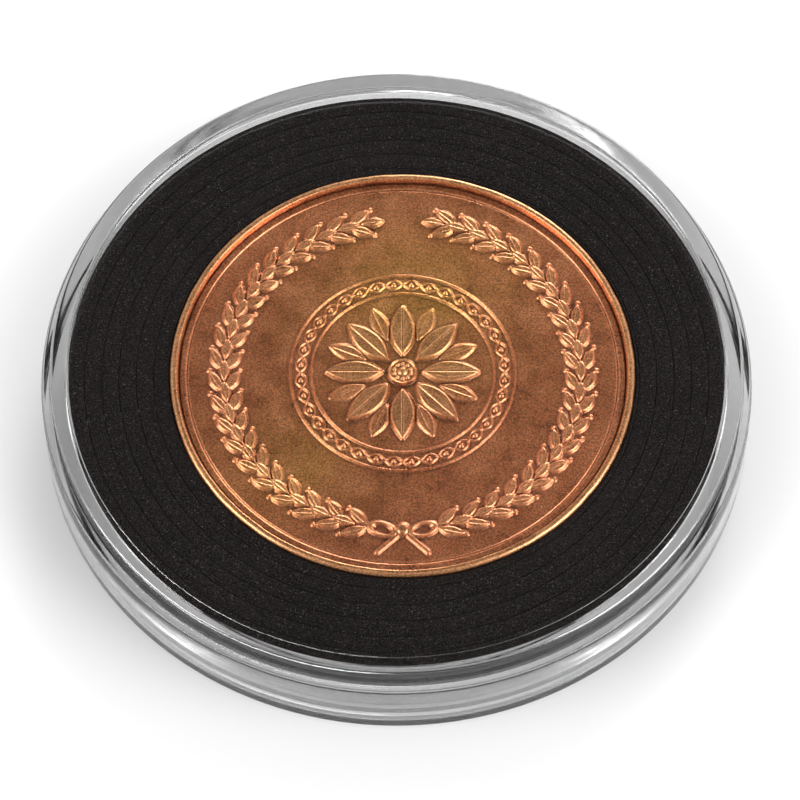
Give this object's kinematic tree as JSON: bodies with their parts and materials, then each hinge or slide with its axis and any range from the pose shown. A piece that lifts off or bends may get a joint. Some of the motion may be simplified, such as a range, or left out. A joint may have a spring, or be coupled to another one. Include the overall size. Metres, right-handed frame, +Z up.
{
  "type": "coin capsule",
  "caption": "Round clear coin capsule with a lift-off lid and nested black foam rings that close round a bronze relief medal.",
  "frame": {"origin": "on the capsule axis, level with the underside of the foot ring that it stands on", "axes": "+Z up out of the lid along the capsule axis; +Y towards the upper edge of the medal design; +X to its right"},
  "size_m": [0.082, 0.082, 0.0116],
  "materials": {
    "clear_acrylic": "clear moulded acrylic, polished, with light handling marks",
    "black_foam": "matt closed-cell foam with fine pale specks",
    "bronze": "struck bronze with a golden brown patina, brighter where it is worn"
  },
  "bodies": {
    "base": {"base_shell": "clear_acrylic"},
    "lid": {"lid_shell": "clear_acrylic"},
    "ring_76": {"foam_ring_76": "black_foam"},
    "ring_72": {"foam_ring_72": "black_foam"},
    "ring_68": {"foam_ring_68": "black_foam"},
    "ring_64": {"foam_ring_64": "black_foam"},
    "ring_60": {"foam_ring_60": "black_foam"},
    "ring_56": {"foam_ring_56": "black_foam"},
    "medal": {"medal": "bronze"}
  },
  "joints": [
    {"name": "lid_lift", "type": "slide", "parent": "base", "child": "lid", "axis": [0, 0, 1], "range_m": [0, 0.06]},
    {"name": "ring_76_lift", "type": "slide", "parent": "base", "child": "ring_76", "axis": [0, 0, 1], "range_m": [0, 0.0075]},
    {"name": "ring_72_lift", "type": "slide", "parent": "base", "child": "ring_72", "axis": [0, 0, 1], "range_m": [0, 0.015]},
    {"name": "ring_68_lift", "type": "slide", "parent": "base", "child": "ring_68", "axis": [0, 0, 1], "range_m": [0, 0.0225]},
    {"name": "ring_64_lift", "type": "slide", "parent": "base", "child": "ring_64", "axis": [0, 0, 1], "range_m": [0, 0.03]},
    {"name": "ring_60_lift", "type": "slide", "parent": "base", "child": "ring_60", "axis": [0, 0, 1], "range_m": [0, 0.0375]},
    {"name": "ring_56_lift", "type": "slide", "parent": "base", "child": "ring_56", "axis": [0, 0, 1], "range_m": [0, 0.045]},
    {"name": "medal_lift", "type": "slide", "parent": "base", "child": "medal", "axis": [0, 0, 1], "range_m": [0, 0.0525]}
  ],
  "couplings": [
    {"joint": "ring_76_lift", "follows": "lid_lift", "ratio": 0.12},
    {"joint": "ring_72_lift", "follows": "lid_lift", "ratio": 0.24},
    {"joint": "ring_68_lift", "follows": "lid_lift", "ratio": 0.36},
    {"joint": "ring_64_lift", "follows": "lid_lift", "ratio": 0.48},
    {"joint": "ring_60_lift", "follows": "lid_lift", "ratio": 0.6},
    {"joint": "ring_56_lift", "follows": "lid_lift", "ratio": 0.72},
    {"joint": "medal_lift", "follows": "lid_lift", "ratio": 0.84}
  ]
}
